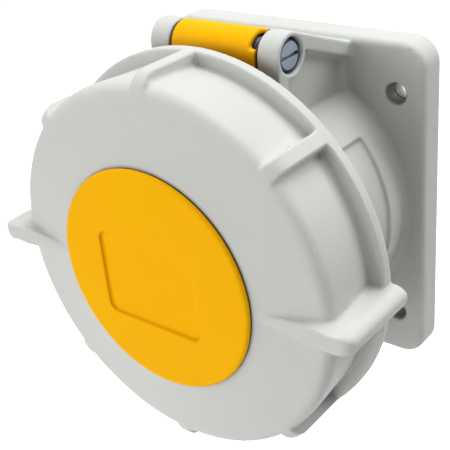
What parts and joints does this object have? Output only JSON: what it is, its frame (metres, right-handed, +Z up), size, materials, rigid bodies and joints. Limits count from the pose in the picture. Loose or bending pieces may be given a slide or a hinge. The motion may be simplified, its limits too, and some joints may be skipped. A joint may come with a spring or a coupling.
{
  "type": "industrial panel socket",
  "caption": "Flanged industrial panel socket with a round collar, contact sleeves, a hinged sprung lid and a bayonet locking ring with two finger wings.",
  "frame": {"origin": "centre of the flange's back face, on the socket's axis", "axes": "+X right seen from the front, +Y into the panel along the socket's axis, +Z up towards the hinge"},
  "size_m": [0.1044, 0.0834, 0.0981],
  "materials": {
    "housing_grey": "light grey, fine satin",
    "ring_grey": "light grey, fine satin",
    "lid_yellow": "signal yellow, satin",
    "cap_yellow": "signal yellow, satin",
    "gasket_rubber": "black",
    "seal_rubber": "black",
    "post_plastic": "dark grey",
    "chamber_plastic": "black",
    "contact_brass": "machined",
    "spring_steel": "bare spring steel",
    "screw_steel": "zinc plated",
    "pin_steel": "blue-grey plated"
  },
  "bodies": {
    "base": {"housing": "housing_grey", "panel_gasket": "gasket_rubber", "carrier_front": "post_plastic", "carrier_rear": "chamber_plastic", "contact_line": "contact_brass", "contact_neutral": "contact_brass", "contact_earth": "contact_brass", "grip_line": "spring_steel", "grip_neutral": "spring_steel", "grip_earth": "spring_steel", "terminal_screws": "screw_steel", "terminal_plates": "screw_steel", "carrier_screws": "screw_steel", "hinge_pin": "pin_steel", "hinge_spring": "spring_steel"},
    "lid": {"lid": "lid_yellow", "lid_seal": "seal_rubber", "lid_cap": "cap_yellow", "cap_screws": "screw_steel"},
    "ring": {"lid_ring": "ring_grey"}
  },
  "joints": [
    {"name": "lid_hinge", "type": "hinge", "parent": "base", "child": "lid", "pos_m": [0, -0.0316, 0.045], "axis": [-1, 0, 0], "range_deg": [0, 135], "stiffness_Nm_per_rad": 0.03, "springref_deg": -34.38, "deforming": ["hinge_spring"]},
    {"name": "ring_turn", "type": "hinge", "parent": "lid", "child": "ring", "pos_m": [0, -0.0625, 0], "axis": [0, 1, 0], "range_deg": [0, 35]}
  ]
}
